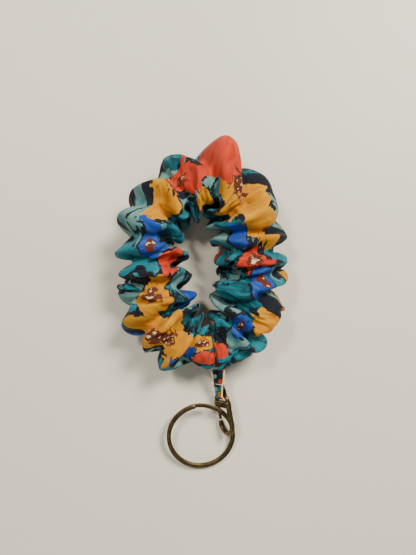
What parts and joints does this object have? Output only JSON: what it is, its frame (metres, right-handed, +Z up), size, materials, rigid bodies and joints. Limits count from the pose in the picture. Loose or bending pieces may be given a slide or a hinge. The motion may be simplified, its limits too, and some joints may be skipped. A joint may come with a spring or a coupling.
{
  "type": "wristlet keychain",
  "caption": "Gathered fabric wrist loop over elastic, with a sewn tab holding a lobster clasp and a split ring.",
  "frame": {"origin": "bottom centre of the whole keychain as it lies on a flat surface", "axes": "+Y from the split ring to the far end of the wrist loop, +Z up from the surface it lies on, +X to the right seen from above"},
  "size_m": [0.07, 0.14, 0.0247],
  "materials": {
    "printed_fabric": "matte printed cotton",
    "sewing_thread": "matte",
    "elastic": "matte knitted elastic",
    "antique_brass": "antiqued, satin",
    "spring_wire": "bright"
  },
  "bodies": {
    "wristlet": {"sleeve_fabric": "printed_fabric", "sleeve_seam_thread": "sewing_thread", "elastic_band": "elastic", "elastic_join_stitches": "sewing_thread"},
    "tab": {"tab_strap": "printed_fabric", "tab_stitch": "sewing_thread", "tab_seam_thread": "sewing_thread"},
    "clasp": {"clasp_body": "antique_brass", "clasp_pin": "antique_brass", "clasp_spring": "spring_wire"},
    "lever": {"clasp_lever": "antique_brass"},
    "ring": {"split_ring": "antique_brass"}
  },
  "joints": [
    {"name": "tab_flex", "type": "hinge", "parent": "wristlet", "child": "tab", "pos_m": [0.00597, -0.02187, 0.012], "axis": [0.9848, 0.1736, 0], "range_deg": [-25, 25]},
    {"name": "clasp_swing", "type": "hinge", "parent": "tab", "child": "clasp", "pos_m": [0.00821, -0.03709, 0.00633], "axis": [0.5417, 0.0658, 0.838], "range_deg": [-60, 60]},
    {"name": "lever_open", "type": "hinge", "parent": "clasp", "child": "lever", "pos_m": [0.00732, -0.04172, 0.00357], "axis": [-0.8225, -0.1643, 0.5445], "range_deg": [0, 15], "stiffness_Nm_per_rad": 0.01, "springref_deg": -8.59, "deforming": ["clasp_spring"]},
    {"name": "ring_swing", "type": "hinge", "parent": "clasp", "child": "ring", "pos_m": [0.00933, -0.04533, 0.0055], "axis": [-0.6984, 0.6885, 0.1954], "range_deg": [-30, 90]}
  ]
}
